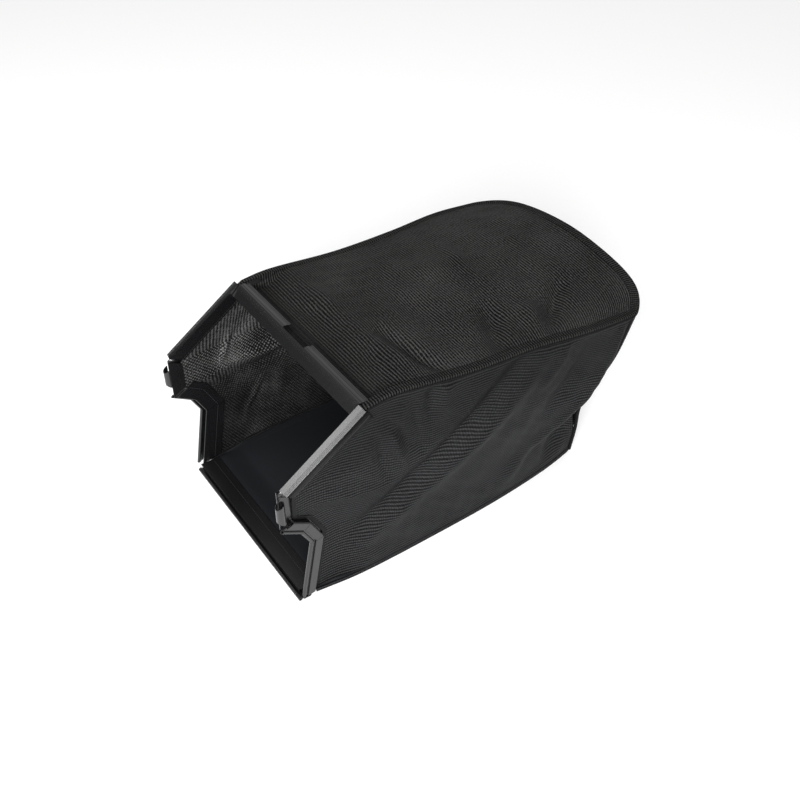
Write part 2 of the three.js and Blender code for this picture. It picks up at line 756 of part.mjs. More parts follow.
addPiece('right_hem_tape', sideTape(), bindingTape);
addPiece('left_hem_tape', mirrored(sideTape()), bindingTape);
const topTape = crossTape(topRidge, topDepth, topOut, topTapeWidth, topClothHalf);
addPiece('top_hem_tape', topTape, bindingTape);
const bottomTape = crossTape(bottomLine, bottomDepth, bottomOut, tapeWidth, bottomClothHalf);
addPiece('bottom_hem_tape', bottomTape, bindingTape);

// Each welt stops short of the next at the bag's rear corners
const alongSeam = stations.slice(1).map((t) => t * (1 - seamRearTrim));
const betweenCorners = (list, margin) => list.map((t) => margin + (1 - 2 * margin) * t);
const rise = betweenCorners(heights, rearWeltTrim);
const rearRun = betweenCorners(acrossSpots, seamRearTrim);
for (const [label, side] of [['right', 1], ['left', -1]]) {
  const topLine = new SeamLine(topSeam, upwards, side);
  const lowLine = new SeamLine(bottomSeam, upwards, side);
  const rearLine = new SeamLine(rearSeam, rearwards, side);
  addPiece(`${label}_top_welt`, welt(topLine, weltRadius, alongSeam), bindingTape);
  addPiece(`${label}_bottom_welt`, welt(lowLine, bottomWeltRadius, alongSeam), bindingTape);
  addPiece(`${label}_rear_welt`, welt(rearLine, weltRadius, rise), bindingTape);
}
const rearTopLine = new SeamLine(new RearTopLine(), upwards);
const rearBottomLine = new SeamLine(new RearBottomLine(), upwards);
addPiece('rear_top_welt', welt(rearTopLine, weltRadius, rearRun), bindingTape);
addPiece('rear_bottom_welt', welt(rearBottomLine, bottomWeltRadius, rearRun), bindingTape);

// The origin is the middle of the bag's box, at the level it lies on
const box = new THREE.Box3().setFromObject(bag);
bag.position.set(-(box.min.x + box.max.x) / 2, -(box.min.y + box.max.y) / 2, -box.min.z);
const part = new THREE.Group();
part.add(bag);

export default part;
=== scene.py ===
# Grass bag of a walk-behind mower, dressed over its CAD solids.
# Shapes are worked out in millimetres from the post feet, then moved to the model's own frame in metres.
import bpy, math
import numpy as np
from mathutils import Vector, Matrix


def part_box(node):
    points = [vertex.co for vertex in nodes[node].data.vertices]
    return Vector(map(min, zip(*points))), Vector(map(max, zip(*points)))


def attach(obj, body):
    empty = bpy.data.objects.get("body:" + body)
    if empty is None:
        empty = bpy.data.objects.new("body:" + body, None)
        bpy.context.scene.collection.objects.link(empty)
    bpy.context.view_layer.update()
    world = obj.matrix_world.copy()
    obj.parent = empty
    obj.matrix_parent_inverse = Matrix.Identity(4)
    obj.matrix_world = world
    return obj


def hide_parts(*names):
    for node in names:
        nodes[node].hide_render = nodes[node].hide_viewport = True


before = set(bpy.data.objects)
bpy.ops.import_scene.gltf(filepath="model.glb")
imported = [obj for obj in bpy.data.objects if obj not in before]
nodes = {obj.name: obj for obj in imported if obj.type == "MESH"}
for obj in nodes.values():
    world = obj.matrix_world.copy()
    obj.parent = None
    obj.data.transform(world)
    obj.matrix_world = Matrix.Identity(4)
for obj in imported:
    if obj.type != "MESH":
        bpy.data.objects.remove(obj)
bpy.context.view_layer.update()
print("frame loaded:", len(nodes), "solids")

# Sizes of the mouth, in millimetres, as the solids have them: its runs are length and lean
mouth = {"innerHalf": 179.0, "footY": -6.5, "footRise": 7.0, "wall": 1.6,
         "runs": [(122.7, 10.8), (35.8, -26.6), (38.4, -57.8), (80.0, 0.0), (176.4, 55.9)],
         "flares": [4.0, 0.0, 0.0, 3.0, 6.0, 6.0], "footCutRise": 0.35, "tuck": 23.0, "tapeStart": 21.5,
         "tapeWidth": 13.5, "topTapeWidth": 28.0, "tapeThickness": 1.2, "topDrop": 16.0, "topSetback": -13.5,
         "topTilt": -6.7, "railDepth": 14.5, "bottomForward": 6.5, "tubeFront": 7.25}
# Sizes of the bag's body: the ways are share of the run, then wider, then higher or further back;
# the calms are the shares of a panel along its edges that stay free of folds
body = {"frontRise": 356.0, "topRise": 362.0, "topRearRise": 318.0, "topHalf": 201.0, "topRearHalf": 219.0,
        "topReach": 646.0, "bottomHalf": 200.0, "bottomRearHalf": 176.0, "bottomReach": 583.0,
        "rearBow": 50.0, "bottomBow": 14.0, "bowPower": 7.0, "rearCrown": 38.0, "crownPower": 1.75,
        "frontCrown": 10.0, "crownRun": 0.4, "rearCrownPower": 4, "rearPuff": 14.0, "belly": 8.0,
        "topWay": [(0.36, -2, -22), (0.6, 4, -28), (0.82, 18, -35)], "topLead": 40.0,
        "bottomWay": [(0.42, 0), (0.66, -2), (0.88, -12)], "bottomLead": 80.0,
        "rearWay": [(0.17, -4.3, -6.7), (0.4, -7, -23), (0.72, 4, -8)],
        "thickness": 1.6, "welt": 4.0, "bottomWelt": 2.8, "seamGap": 0.3, "touchGap": 0.3, "seamTrim": 0.014,
        "edgeRow": 0.975, "topEase": 60.0, "bottomEase": 40.0, "sideStart": 4.0, "sideEase": 78.0,
        "bowRunPower": 3, "backCrownPower": 3,
        "sideCalm": {"bottom": 0.06, "top": 0.05, "rear": 0.03}, "topCalm": {"sides": 0.05, "rear": 0.04}}
sagFold = {"depth": 16.0, "start": 0.45, "height": 0.15, "rise": 0.2, "crestOffset": 0.2, "crestWidth": 0.13,
           "dipOffset": -0.06, "dipWidth": 0.09, "rearFade": 0.45, "fadePower": 8}


def leanStep(point, length, lean):
    a = math.radians(lean)
    return np.array([point[0] + length * math.sin(a), point[1] + length * math.cos(a)])


mouthLine = [np.array([mouth["footY"], mouth["footRise"]])]
for length, lean in mouth["runs"]:
    mouthLine.append(leanStep(mouthLine[-1], length, lean))

# The shift to the model's frame: the finger tubes are what stands furthest forwards
tubeFront = mouthLine[3][0] - mouth["tubeFront"]
bagShift = np.array([0.0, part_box("left_finger_clip")[0][1] * 1000 - tubeFront,
                     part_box("bottom_clip")[0][2] * 1000])


def inwards(a, b):
    along = (b - a) / np.linalg.norm(b - a)
    return np.array([along[1], -along[0]])


mitres = []
for i, corner in enumerate(mouthLine):
    if i == 0:
        first = mouthLine[1] - mouthLine[0]
        upwards = first / np.linalg.norm(first)
        mitres.append(inwards(mouthLine[0], mouthLine[1]) + upwards * mouth["footCutRise"])
    elif i == len(mouthLine) - 1:
        mitres.append(inwards(mouthLine[i - 1], corner))
    else:
        before, after = inwards(mouthLine[i - 1], corner), inwards(corner, mouthLine[i + 1])
        mitres.append((before + after) / (1 + before @ after))


def depthLine(depth):
    return np.array([corner + mitre * depth for corner, mitre in zip(mouthLine, mitres)])


tuckLine = depthLine(mouth["tuck"])
mouthTop, mouthFoot = tuckLine[-1], tuckLine[0]


class SeamCurve:
    # a centripetal Catmull-Rom curve, read by its length
    def __init__(self, points):
        self.points = np.array(points, float)
        self.fine = np.linspace(0, 1, 401)
        spots = self.raw(self.fine)
        run = np.concatenate([[0], np.cumsum(np.linalg.norm(np.diff(spots, axis=0), axis=1))])
        self.length, self.table = run[-1], run / run[-1]

    def raw(self, t):
        p = self.points
        p = np.vstack([2 * p[0] - p[1], p, 2 * p[-1] - p[-2]])
        s = np.clip(np.atleast_1d(t), 0, 1) * (len(p) - 3)
        i = np.minimum(s.astype(int), len(p) - 4)
        w = (s - i)[:, None]
        a, b, c, d = p[i], p[i + 1], p[i + 2], p[i + 3]
        k0, k1, k2 = (np.sum((y - x) ** 2, axis=1)[:, None] ** 0.25 for x, y in ((a, b), (b, c), (c, d)))
        m1 = ((b - a) / k0 - (c - a) / (k0 + k1) + (c - b) / k1) * k1
        m2 = ((c - b) / k1 - (d - b) / (k1 + k2) + (d - c) / k2) * k1
        return b + m1 * w + (-3 * b + 3 * c - 2 * m1 - m2) * w ** 2 + (2 * b - 2 * c + m1 + m2) * w ** 3

    def at(self, t):
        return self.raw(np.interp(t, self.table, self.fine))


def mix(a, b, t):
    return a + (b - a) * t


frontX = mouth["innerHalf"] + mouth["wall"] + body["touchGap"] + body["thickness"] / 2
startX = frontX + mouth["flares"][-1] + body["welt"]
reach = body["topReach"] - mouthTop[0]
lowReach = body["bottomReach"] - mouthFoot[0]
low = body["bottomWelt"] + body["touchGap"]
topSeam = SeamCurve(
    [(startX, mouthTop[0], body["frontRise"]),
     (startX, mouthTop[0] + body["topLead"], (body["frontRise"] + body["topRise"]) / 2)]
    + [(body["topHalf"] + wider, mouthTop[0] + reach * share, body["topRise"] + higher)
       for share, wider, higher in body["topWay"]]
    + [(body["topRearHalf"], body["topReach"], body["topRearRise"])])
bottomSeam = SeamCurve(
    [(frontX + mouth["flares"][0] + body["bottomWelt"], mouthFoot[0], low + body["bottomWelt"] / 2),
     (body["bottomHalf"] - body["bottomWelt"], mouthFoot[0] + body["bottomLead"], low)]
    + [(body["bottomHalf"] + wider, mouthFoot[0] + lowReach * share, low)
       for share, wider in body["bottomWay"]]
    + [(body["bottomRearHalf"], body["bottomReach"], low)])
rearSeam = SeamCurve(
    [(body["bottomRearHalf"], body["bottomReach"], low)]
    + [(mix(body["bottomRearHalf"], body["topRearHalf"], share) + wider,
        mix(body["bottomReach"], body["topReach"], share) + further, body["topRearRise"] * share)
       for share, wider, further in body["rearWay"]]
    + [(body["topRearHalf"], body["topReach"], body["topRearRise"])])


def smooth(t):
    t = np.clip(t, 0, 1)
    return t * t * (3 - 2 * t)


def hump(x, centre, width):
    return np.exp(-(((x - centre) / width) ** 2))


def domed(w, power):
    return 1 - np.abs(w) ** power


sideFlat = mouth["tapeStart"] + mouth["tapeWidth"] - mouth["tuck"] + 2 * body["thickness"]
topFlat = mouth["tapeStart"] + mouth["topTapeWidth"] - mouth["tuck"] + 2 * body["thickness"]


def heldAcross(w):
    return 1 - smooth((np.abs(w) - body["edgeRow"]) / (1 - body["edgeRow"]))


def lineAt(line, height):
    return np.interp(height, line[:, 1], line[:, 0])


# Folds: each is a line of points, its width and its height, all in millimetres; they die away at their ends
foldEnd = {"least": 0.15, "power": 0.7}


def foldRelief(spots, folds):
    relief = np.zeros(len(spots))
    for points, width, height in folds:
        line = np.array(points, float)
        steps = np.diff(line, axis=0)
        lengths = np.linalg.norm(steps, axis=1)
        starts = np.concatenate([[0], np.cumsum(lengths)])
        nearest = np.full(len(spots), 1e9)
        along = np.zeros(len(spots))
        for k, step in enumerate(steps):
            t = np.clip((spots - line[k]) @ step / lengths[k] ** 2, 0, 1)
            gap = np.linalg.norm(spots - line[k] - t[:, None] * step, axis=1)
            closer = gap < nearest
            nearest[closer] = gap[closer]
            along[closer] = (starts[k] + t * lengths[k])[closer] / starts[-1]
        strength = mix(foldEnd["least"], 1.0, np.sin(np.pi * along) ** foldEnd["power"])
        relief += height * np.exp(-(nearest / width) ** 2) * strength
    return relief


# On the near side, in the bag's own (y, z)
nearSideFolds = [
    ([(450, 345), (400, 300), (340, 255), (265, 205), (175, 155), (75, 95)], 18, -18),
    ([(480, 322), (425, 280), (365, 235), (285, 180), (195, 130), (100, 70)], 26, 13),
    ([(625, 300), (600, 235), (560, 175), (500, 128), (455, 100), (400, 40)], 18, 16),
    ([(640, 270), (618, 215), (590, 165), (540, 115)], 16, -16),
    ([(590, 105), (555, 70), (500, 35)], 26, -18),
    ([(560, 315), (540, 265), (505, 215), (455, 170)], 22, -13),
    ([(505, 325), (480, 285), (440, 245)], 13, 7),
    ([(150, 330), (172, 290), (205, 235)], 10, -8),
    ([(270, 345), (262, 310), (258, 270)], 13, 7),
    ([(245, 350), (236, 310), (225, 275)], 12, -6),
    ([(165, 322), (170, 265), (182, 205)], 9, 7),
    ([(138, 292), (142, 240), (152, 190)], 8, -6),
    ([(203, 325), (208, 275), (217, 215)], 10, -7)]
farSideFolds = [
    ([(92, 268), (78, 235), (66, 205)], 6, -7),
    ([(108, 197), (150, 191), (205, 197), (250, 208)], 12, -15),
    ([(104, 174), (150, 165), (205, 172), (250, 186)], 7, 7),
    ([(150, 140), (122, 105), (100, 72)], 6, -6),
    ([(330, 330), (270, 250), (180, 190)], 22, 12),
    ([(360, 290), (300, 215), (220, 150)], 22, -12)]
# On the top, in (x, y)
topFolds = [
    ([(178, 488), (155, 512), (120, 550), (100, 585)], 15, -15),
    ([(184, 452), (150, 478), (112, 500)], 17, 6),
    ([(182, 382), (150, 395), (112, 420), (70, 440)], 20, -13),
    ([(40, 240), (80, 250), (130, 256), (186, 276)], 13, -14),
    ([(60, 220), (110, 226), (170, 238)], 13, 6),
    ([(172, 176), (130, 184), (80, 198)], 15, -12),
    ([(-188, 132), (-130, 162), (-60, 182), (20, 180)], 13, -16),
    ([(-150, 136), (-100, 146), (-40, 156)], 14, 7),
    ([(-150, 202), (-80, 214), (0, 210)], 15, 5),
    ([(-120, 480), (-50, 474), (15, 468)], 10, 4),
    ([(-20, 320), (60, 330), (120, 322)], 26, -6),
    ([(-90, 340), (-60, 420), (-40, 500)], 30, 6)]
# Slight waviness all over: each wave's height and length in millimetres, its direction and its start,
# and how strongly it comes and goes in patches
wavy = {"waves": [(1.1, 92, 0.4, 0.0), (0.9, 68, 2.3, 1.7), (0.7, 47, 1.2, 4.1), (0.5, 33, 2.9, 2.6),
                  (0.35, 24, 0.9, 5.2)], "mean": 0.6, "patch": (1.7, 1.3)}


def waviness(spots):
    total = np.zeros(len(spots))
    first, second = spots[:, 0], spots[:, 1]
    for height, length, turn, start in wavy["waves"]:
        way = first * math.cos(turn) + second * math.sin(turn)
        patch = np.sin(first / (length * wavy["patch"][0]) + second / (length * wavy["patch"][1]) + start)
        strength = wavy["mean"] + (1 - wavy["mean"]) * patch
        total += height * np.sin(way * math.tau / length + start) * strength
    return total


tapeBack = depthLine(mouth["tapeStart"] + mouth["tapeWidth"])
flareLine = np.stack([mouth["flares"], tuckLine[:, 1]], axis=1)
frontBottom = bottomSeam.at(0)[0, 2] + body["bottomWelt"] + body["thickness"] / 2 + body["seamGap"]
frontTop = topSeam.at(0)[0, 2] - body["welt"] - 2 * body["seamGap"]
rearFine = rearSeam.at(np.linspace(0, 1, 400))


def sideSwell(u, share):
    between = np.sin(np.pi * np.clip(share, 0, 1))
    height = sagFold["height"] + sagFold["rise"] * u
    strength = smooth((u - sagFold["start"]) / (1 - sagFold["start"])) * (
        1 - sagFold["rearFade"] * smooth(u) ** sagFold["fadePower"])
    crest = hump(share, height + sagFold["crestOffset"], sagFold["crestWidth"])
    dip = hump(share, height + sagFold["dipOffset"], sagFold["dipWidth"])
    fold = sagFold["depth"] * strength * (crest * (1 - sagFold["crestOffset"]) - dip) * np.sqrt(between)
    return body["belly"] * between * np.sin(np.pi * u) + fold


def sideSurface(folds):
    def surface(u, share):
        top, bottom = topSeam.at(u), bottomSeam.at(u)
        topZ = top[:, 2] - body["welt"] - 2 * body["seamGap"]
        bottomZ = bottom[:, 2] + body["bottomWelt"] + body["thickness"] / 2 + body["seamGap"]
        z = mix(bottomZ, topZ, share)
        rearHeight = mix(bottom[:, 2], top[:, 2], share)
        rearY = np.interp(rearHeight, rearFine[:, 2], rearFine[:, 1])
        rearX = np.interp(rearHeight, rearFine[:, 2], rearFine[:, 0])
        frontHeight = mix(frontBottom, frontTop, share)
        frontShift = lineAt(tuckLine, frontHeight) - mix(mouthFoot[0], mouthTop[0], share)
        rearShift = rearY - body["welt"] - body["seamGap"] - mix(body["bottomReach"], body["topReach"], share)
        y = mix(bottom[:, 1], top[:, 1], share) + frontShift * (1 - u) + rearShift * u
        bulge = (rearX - mix(body["bottomRearHalf"], body["topRearHalf"], share)) * smooth(u)
        calm = body["sideCalm"]
        edge = (smooth(share / calm["bottom"]) * smooth((1 - share) / calm["top"])
                * smooth((1 - u) / calm["rear"]))
        spots = np.stack([y, z], axis=1)
        relief = (foldRelief(spots, folds) + waviness(spots)) * edge
        x = mix(bottom[:, 0], top[:, 0], share) + bulge + sideSwell(u, share) + relief
        free = smooth((y - lineAt(tapeBack, frontHeight) - body["sideStart"]) / body["sideEase"])
        held = frontX + lineAt(flareLine, frontHeight)
        return np.stack([mix(held, x, free), y, z], axis=1)
    return surface


tilt = math.radians(mouth["topTilt"])
topDepth = np.array([math.cos(tilt), math.sin(tilt)])
topOut = np.array([-topDepth[1], topDepth[0]])
topRidge = mouthLine[-1] + np.array([mouth["topSetback"], -mouth["topDrop"]])
bottomLine = np.array([mouth["footY"] - mouth["bottomForward"], mouth["railDepth"]])
clipGap = mouth["wall"] + body["touchGap"] + body["thickness"] / 2
topClothHalf = mouth["innerHalf"] + mouth["flares"][-1] - body["thickness"]
bottomClothHalf = mouth["innerHalf"] - body["thickness"]


def topSurface(u, v):
    seam = topSeam.at(u * (1 - body["seamTrim"]))
    w = 2 * v - 1
    level = topRidge + topDepth * mouth["tuck"] + topOut * clipGap
    steep = 1 - smooth((u * reach - topFlat) / body["topEase"])
    join = steep * heldAcross(w)
    crown = body["frontCrown"] * smooth(u / body["crownRun"]) \
        + (body["rearCrown"] - body["frontCrown"]) * u ** body["rearCrownPower"]
    x = w * (seam[:, 0] - body["welt"] - body["seamGap"] - body["thickness"] * steep)
    y = seam[:, 1] + body["rearBow"] * domed(w, body["bowPower"]) * u ** body["bowRunPower"]
    edge = smooth((1 - np.abs(w)) / body["topCalm"]["sides"]) * smooth((1 - u) / body["topCalm"]["rear"])
    spots = np.stack([x, y], axis=1)
    relief = (foldRelief(spots, topFolds) + waviness(spots)) * edge
    z = seam[:, 2] + crown * domed(w, body["crownPower"]) + relief
    run = u * reach
    flat = np.stack([w * topClothHalf, level[0] + run * topDepth[0], level[1] + run * topDepth[1]], axis=1)
    return mix(np.stack([x, y, z], axis=1), flat, join[:, None])


def backSurface(u, v):
    w = 2 * u - 1
    seam = rearSeam.at(v)
    bowed, crowned = domed(w, body["bowPower"]), domed(w, body["crownPower"])
    bow = mix(body["bottomBow"], body["rearBow"], v)
    puff = body["rearPuff"] * np.sin(np.pi * v) * crowned
    inset, rise = body["welt"] + body["seamGap"], body["bottomWelt"] + body["seamGap"]
    z = seam[:, 2] + body["rearCrown"] * v ** body["backCrownPower"] * crowned + rise * (1 - v) - inset * v
    x = w * (seam[:, 0] - inset - body["thickness"] / 2)
    return np.stack([x, seam[:, 1] + bow * bowed + puff, z], axis=1)


def bottomSurface(u, v):
    seam = bottomSeam.at(u * (1 - body["seamTrim"]))
    w = 2 * v - 1
    join = (1 - smooth((u * reach - sideFlat) / body["bottomEase"])) * heldAcross(w)
    level = bottomLine + np.array([mouth["tuck"], -clipGap])
    x = w * (seam[:, 0] - body["bottomWelt"] - body["seamGap"])
    y = seam[:, 1] + body["bottomBow"] * domed(w, body["bowPower"]) * u ** body["bowRunPower"]
    rest = body["thickness"] / 2 + body["touchGap"]
    z = mix(seam[:, 2], rest, domed(w, body["bowPower"]))
    flat = np.stack([w * bottomClothHalf, level[0] + u * reach, np.full_like(u, level[1])], axis=1)
    return mix(np.stack([x, y, z], axis=1), flat, join[:, None])


# Camera, at the photograph's angle
photo = {"azimuth": 55.05, "elevation": 41.32, "distance": 1623.2, "right": 259.3, "up": 74.2,
         "height": 193.2, "lens": 45.0, "sensor": 36.0, "clipStart": 0.05}
azimuth, elevation = math.radians(photo["azimuth"]), math.radians(photo["elevation"])
back = Vector((math.sin(azimuth) * math.cos(elevation), -math.cos(azimuth) * math.cos(elevation),
               math.sin(elevation)))
right = Vector((math.cos(azimuth), math.sin(azimuth), 0))
up = back.cross(right)
eye = back * photo["distance"] + right * photo["right"] + up * photo["up"] + Vector((0, 0, photo["height"]))
camera = bpy.data.objects.new("photoCamera", bpy.data.cameras.new("photoCamera"))
bpy.context.scene.collection.objects.link(camera)
turned = Matrix((right, up, back)).transposed().to_4x4()
camera.matrix_world = Matrix.Translation((eye + Vector(bagShift)) / 1000) @ turned
camera.data.lens = photo["lens"]
camera.data.sensor_width = photo["sensor"]
camera.data.clip_start = photo["clipStart"]
bpy.context.scene.camera = camera

# Studio: a pale floor that is lifted to white where it is seen, and an even surround with one dark card,
# which shades the bag and is mirrored by it but isn't seen itself
studio = {"floor": (0.92, 0.92, 0.92), "floorLift": 0.14, "floorHalf": 4.0, "floorDrop": 0.0005,
          "surround": 1.0, "darkCard": (-0.703, -0.613, 0.361), "cardEdge": (0.70, 0.88), "cardLevel": 0.10}
bpy.context.scene.view_settings.view_transform = "Standard"


def nodeTree(owner):
    owner.use_nodes = True
    tree = owner.node_tree
    tree.nodes.clear()
    return tree


def mathNode(tree, operation, *values):
    node = tree.nodes.new("ShaderNodeMath")
    node.operation = operation
    for slot, value in enumerate(values):
        if isinstance(value, (int, float)):
            node.inputs[slot].default_value = value
        else:
            tree.links.new(value, node.inputs[slot])
    return node.outputs[0]


def seenBy(tree, *rays):
    # 1 for the named kinds of ray, else 0
    path = tree.nodes.new("ShaderNodeLightPath")
    seen = path.outputs[rays[0]]
    for ray in rays[1:]:
        seen = mathNode(tree, "MAXIMUM", seen, path.outputs[ray])
    return seen


world = bpy.data.worlds.new("surround")
bpy.context.scene.world = world
tree = nodeTree(world)
seen = seenBy(tree, "Is Camera Ray", "Is Transmission Ray")
heading = tree.nodes.new("ShaderNodeTexCoord")
towards = tree.nodes.new("ShaderNodeVectorMath")
towards.operation = "DOT_PRODUCT"
towards.inputs[1].default_value = studio["darkCard"]
tree.links.new(heading.outputs["Generated"], towards.inputs[0])
card = tree.nodes.new("ShaderNodeMapRange")
card.inputs["From Min"].default_value, card.inputs["From Max"].default_value = studio["cardEdge"]
card.inputs["To Min"].default_value = studio["surround"]
card.inputs["To Max"].default_value = studio["cardLevel"]
tree.links.new(towards.outputs["Value"], card.inputs["Value"])
unseen = mathNode(tree, "SUBTRACT", 1.0, seen)
glow = tree.nodes.new("ShaderNodeBackground")
tree.links.new(mathNode(tree, "MULTIPLY_ADD", card.outputs[0], unseen, seen), glow.inputs["Strength"])
worldOut = tree.nodes.new("ShaderNodeOutputWorld")
tree.links.new(glow.outputs[0], worldOut.inputs["Surface"])

floorMesh = bpy.data.meshes.new("studioFloor")
half = studio["floorHalf"]
floorCorners = [(-half, -half, 0), (half, -half, 0), (half, half, 0), (-half, half, 0)]
floorMesh.from_pydata(floorCorners, [], [(0, 1, 2, 3)])
studioFloor = bpy.data.objects.new("studioFloor", floorMesh)
studioFloor.location.z = -studio["floorDrop"]
bpy.context.scene.collection.objects.link(studioFloor)
floorPaint = bpy.data.materials.new("floorPaint")
tree = nodeTree(floorPaint)
paint = tree.nodes.new("ShaderNodeBsdfDiffuse")
paint.inputs["Color"].default_value = (*studio["floor"], 1)
floorSeen = seenBy(tree, "Is Camera Ray", "Is Transmission Ray", "Is Glossy Ray")
lift = tree.nodes.new("ShaderNodeEmission")
tree.links.new(mathNode(tree, "MULTIPLY", floorSeen, studio["floorLift"]), lift.inputs["Strength"])
both = tree.nodes.new("ShaderNodeAddShader")
tree.links.new(paint.outputs[0], both.inputs[0])
tree.links.new(lift.outputs[0], both.inputs[1])
floorOut = tree.nodes.new("ShaderNodeOutputMaterial")
tree.links.new(both.outputs[0], floorOut.inputs["Surface"])
floorMesh.materials.append(floorPaint)


# A softbox for the near slope clip's face, and a large lamp in front for the near side
lamps = {"slopeSoftbox": {"place": (-0.513, -1.666, 1.887), "aim": (0.19, -0.30, 0.31),
                          "size": (0.86, 0.68), "watts": 17},
         "frontKey": {"place": (2.1, -1.8, 1.7), "aim": (0.1, 0.0, 0.15), "size": (1.3, 1.1), "watts": 108}}


def softLamp(name, place, aim, size, watts):
    lampData = bpy.data.lights.new(name, "AREA")
    lampData.shape = "RECTANGLE"
    lampData.size, lampData.size_y = size
    lampData.energy = watts
    lamp = bpy.data.objects.new(name, lampData)
    lamp.location = place
    lamp.rotation_euler = (Vector(aim) - Vector(place)).to_track_quat("-Z", "Y").to_euler()
    bpy.context.scene.collection.objects.link(lamp)


for name, settings in lamps.items():
    softLamp(name, **settings)
print("studio ready")


# Materials
def principled(name, look):
    material = bpy.data.materials.new(name)
    tree = nodeTree(material)
    shader = tree.nodes.new("ShaderNodeBsdfPrincipled")
    out = tree.nodes.new("ShaderNodeOutputMaterial")
    tree.links.new(shader.outputs[0], out.inputs["Surface"])
    if "colour" in look:
        shader.inputs["Base Color"].default_value = (*look["colour"], 1)
    shader.inputs["Roughness"].default_value = look["roughness"]
    shader.inputs["Specular IOR Level"].default_value = look["specular"]
    return material, tree, shader


def noiseNode(tree, vector, scale, detail=2.0):
    noise = tree.nodes.new("ShaderNodeTexNoise")
    noise.inputs["Scale"].default_value = scale
    noise.inputs["Detail"].default_value = detail
    tree.links.new(vector, noise.inputs["Vector"])
    return noise.outputs[0]


def bumpFrom(tree, shader, height, strength, distance):
    bump = tree.nodes.new("ShaderNodeBump")
    bump.inputs["Strength"].default_value = strength
    bump.inputs["Distance"].default_value = distance
    tree.links.new(height, bump.inputs["Height"])
    tree.links.new(bump.outputs[0], shader.inputs["Normal"])


def colourBetween(tree, shader, factor, dark, light):
    blend = tree.nodes.new("ShaderNodeMix")
    blend.data_type = "RGBA"
    blend.inputs["A"].default_value = (*dark, 1)
    blend.inputs["B"].default_value = (*light, 1)
    tree.links.new(factor, blend.inputs["Factor"])
    tree.links.new(blend.outputs["Result"], shader.inputs["Base Color"])


def wave(tree, source, pitch):
    # from 0 to 1, its source in metres
    turned = mathNode(tree, "MULTIPLY", source, math.tau / pitch)
    return mathNode(tree, "MULTIPLY_ADD", mathNode(tree, "SINE", turned), 0.5, 0.5)


def aroundZero(tree, noise, amount):
    return mathNode(tree, "MULTIPLY_ADD", noise, amount, -0.5 * amount)


weave = {"swayScale": 14.0, "speckleDetail": 1.0, "cloudDetail": 3.0, "bumpHeight": 0.0008}


def meshCloth(name, look):
    # ribbed mesh: the map's u runs along the bag and its v across, both in metres;
    # each fade is painted shade: the map's axis, where it begins and ends, and what is left of the light
    # threads
    material, tree, shader = principled(name, look)
    place = tree.nodes.new("ShaderNodeUVMap")
    place.uv_map = "cloth"
    split = tree.nodes.new("ShaderNodeSeparateXYZ")
    tree.links.new(place.outputs[0], split.inputs[0])
    sway = mathNode(tree, "MULTIPLY", noiseNode(tree, place.outputs[0], weave["swayScale"]), look["sway"])
    angle = math.radians(look["angle"])
    ribAxis = mathNode(tree, "ADD", mathNode(tree, "MULTIPLY_ADD", split.outputs[0], math.cos(angle), sway),
                       mathNode(tree, "MULTIPLY", split.outputs[1], math.sin(angle)))
    threadAxis = mathNode(tree, "ADD", mathNode(tree, "MULTIPLY", split.outputs[0], -math.sin(angle)),
                          mathNode(tree, "MULTIPLY", split.outputs[1], math.cos(angle)))
    rib = wave(tree, ribAxis, look["ribPitch"])
    thread = wave(tree, threadAxis, look["threadPitch"])
    if look["dots"]:
        knots = mathNode(tree, "SQRT", mathNode(tree, "MULTIPLY", rib, thread))
    else:
        knots = mathNode(tree, "ADD", mathNode(tree, "MULTIPLY", rib, 1 - look["threadShare"]),
                         mathNode(tree, "MULTIPLY", thread, look["threadShare"]))
    speckle = noiseNode(tree, place.outputs[0], look["speckleScale"], weave["speckleDetail"])
    cloud = noiseNode(tree, place.outputs[0], look["cloudScale"], weave["cloudDetail"])
    uneven = mathNode(tree, "ADD", aroundZero(tree, speckle, look["speckle"]),
                      aroundZero(tree, cloud, look["cloud"]))
    shade = mathNode(tree, "ADD", mathNode(tree, "POWER", knots, look["thinness"]), uneven)
    clamp = tree.nodes.new("ShaderNodeClamp")
    tree.links.new(shade, clamp.inputs[0])
    shade = clamp.outputs[0]
    # painted shade: the colour is darkened towards the dark threads by map position
    for axis, begin, end, left in look["paintedShadeFades"]:
        shadeFade = tree.nodes.new("ShaderNodeMapRange")
        shadeFade.interpolation_type = "SMOOTHSTEP"
        shadeFade.inputs["From Min"].default_value, shadeFade.inputs["From Max"].default_value = begin, end
        shadeFade.inputs["To Min"].default_value, shadeFade.inputs["To Max"].default_value = 1.0, left
        tree.links.new(split.outputs[axis], shadeFade.inputs["Value"])
        shade = mathNode(tree, "MULTIPLY", shade, shadeFade.outputs[0])
    colourBetween(tree, shader, shade, look["dark"], look["light"])
    bumpFrom(tree, shader, knots, look["bump"], weave["bumpHeight"])
    return material


def plainFinish(name, look):
    # one colour or scuffed between two, with a fine grain where the look has one
    material, tree, shader = principled(name, look)
    spot = tree.nodes.new("ShaderNodeTexCoord")
    if "grain" in look:
        grain = noiseNode(tree, spot.outputs["Object"], look["grain"]["scale"])
        bumpFrom(tree, shader, grain, look["grain"]["bump"], look["grain"]["height"])
    if "scuffs" in look:
        scuffs = noiseNode(tree, spot.outputs["Object"], look["scuffs"]["scale"], look["scuffs"]["detail"])
        colourBetween(tree, shader, scuffs, look["scuffs"]["dark"], look["scuffs"]["light"])
    return material


